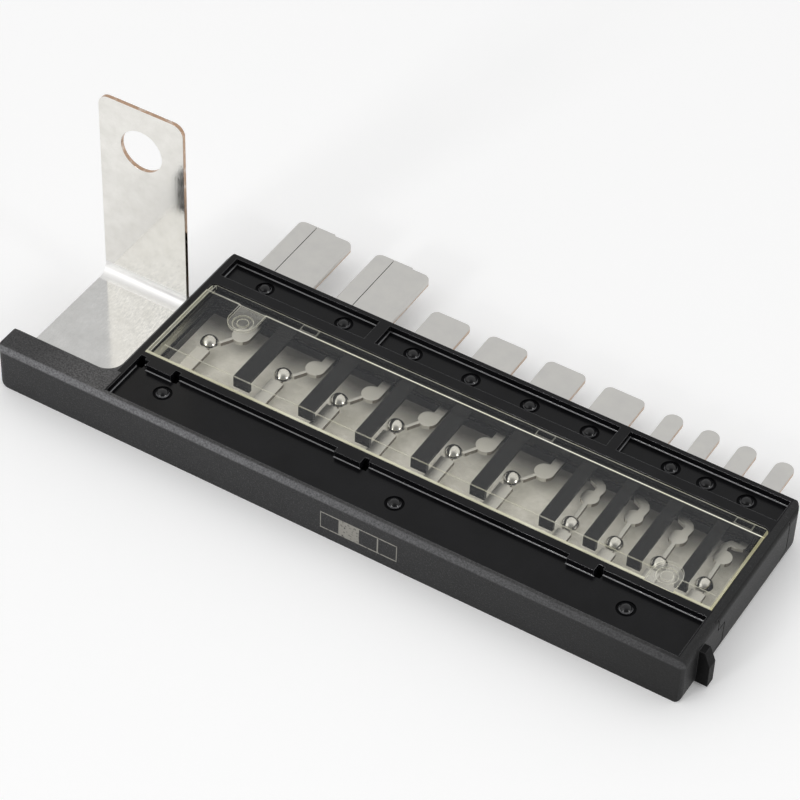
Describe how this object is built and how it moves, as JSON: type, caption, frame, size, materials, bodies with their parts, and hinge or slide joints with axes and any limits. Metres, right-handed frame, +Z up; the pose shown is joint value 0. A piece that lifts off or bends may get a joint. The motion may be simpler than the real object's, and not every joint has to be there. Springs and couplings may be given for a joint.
{
  "type": "fuse block",
  "caption": "Flat automotive fuse block with a bent bolt tab, a row of plug-in blades, a dark moulded housing and a clear window over fusible links.",
  "frame": {"origin": "centre of the bounding box on the plane of the housing's underside", "axes": "+X along the row of blades away from the bolt tab, +Y towards the blade tips, +Z up along the bolt tab"},
  "size_m": [0.1098, 0.0484, 0.0365],
  "materials": {
    "housing_black": "satin moulded",
    "housing_base_black": "satin moulded",
    "tinned_sheet": "tin-plated copper sheet",
    "bright_tin": "bright cast tin",
    "clear_cover": "clear moulded plastic",
    "clear_base": "clear moulded plastic"
  },
  "bodies": {
    "root": {"upper_housing": "housing_black", "lower_housing": "housing_base_black", "busbar": "tinned_sheet", "tin_pellet_01": "bright_tin", "tin_pellet_02": "bright_tin", "tin_pellet_03": "bright_tin", "tin_pellet_04": "bright_tin", "tin_pellet_05": "bright_tin", "tin_pellet_06": "bright_tin", "tin_pellet_07": "bright_tin", "tin_pellet_08": "bright_tin", "tin_pellet_09": "bright_tin", "tin_pellet_10": "bright_tin", "top_cover": "clear_cover", "bottom_cover": "clear_base"}
  },
  "joints": []
}
